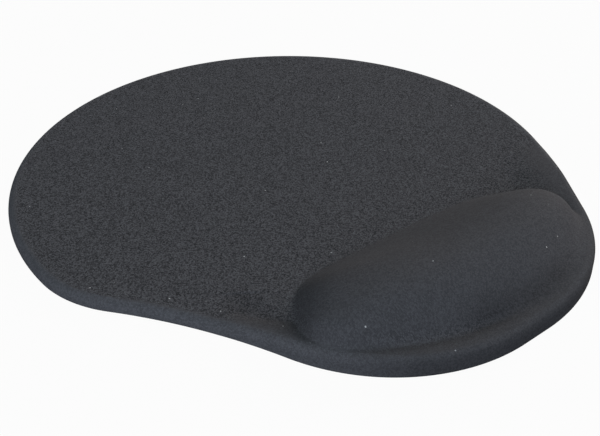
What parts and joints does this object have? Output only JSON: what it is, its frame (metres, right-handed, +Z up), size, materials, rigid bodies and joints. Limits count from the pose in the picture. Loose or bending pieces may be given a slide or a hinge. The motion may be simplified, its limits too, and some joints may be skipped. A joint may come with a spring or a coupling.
{
  "type": "mouse mat with wrist rest",
  "caption": "Flat mouse mat with a round head and a front lobe that carries a raised, fabric-covered gel cushion for the wrist inside a low rim, on a non-slip sole.",
  "frame": {"origin": "on the table, at the middle of the mat's box in plan", "axes": "+Y from the wrist cushion towards the mouse, +X to the right of the person using it, +Z up"},
  "size_m": [0.2048, 0.2222, 0.02],
  "materials": {
    "fabric_cover": "fine charcoal knit, matte",
    "cushion_film": "soft film",
    "gel_cushion": "clear gel",
    "pouch_floor_film": "soft film",
    "rim_collar": "closed-cell foam",
    "foam_base": "closed-cell foam",
    "non_slip_sole": "matte, finely textured"
  },
  "bodies": {
    "root": {"fabric_cover": "fabric_cover", "cushion_film": "cushion_film", "gel_cushion": "gel_cushion", "pouch_floor_film": "pouch_floor_film", "rim_collar": "rim_collar", "foam_base": "foam_base", "non_slip_sole": "non_slip_sole"}
  },
  "joints": []
}
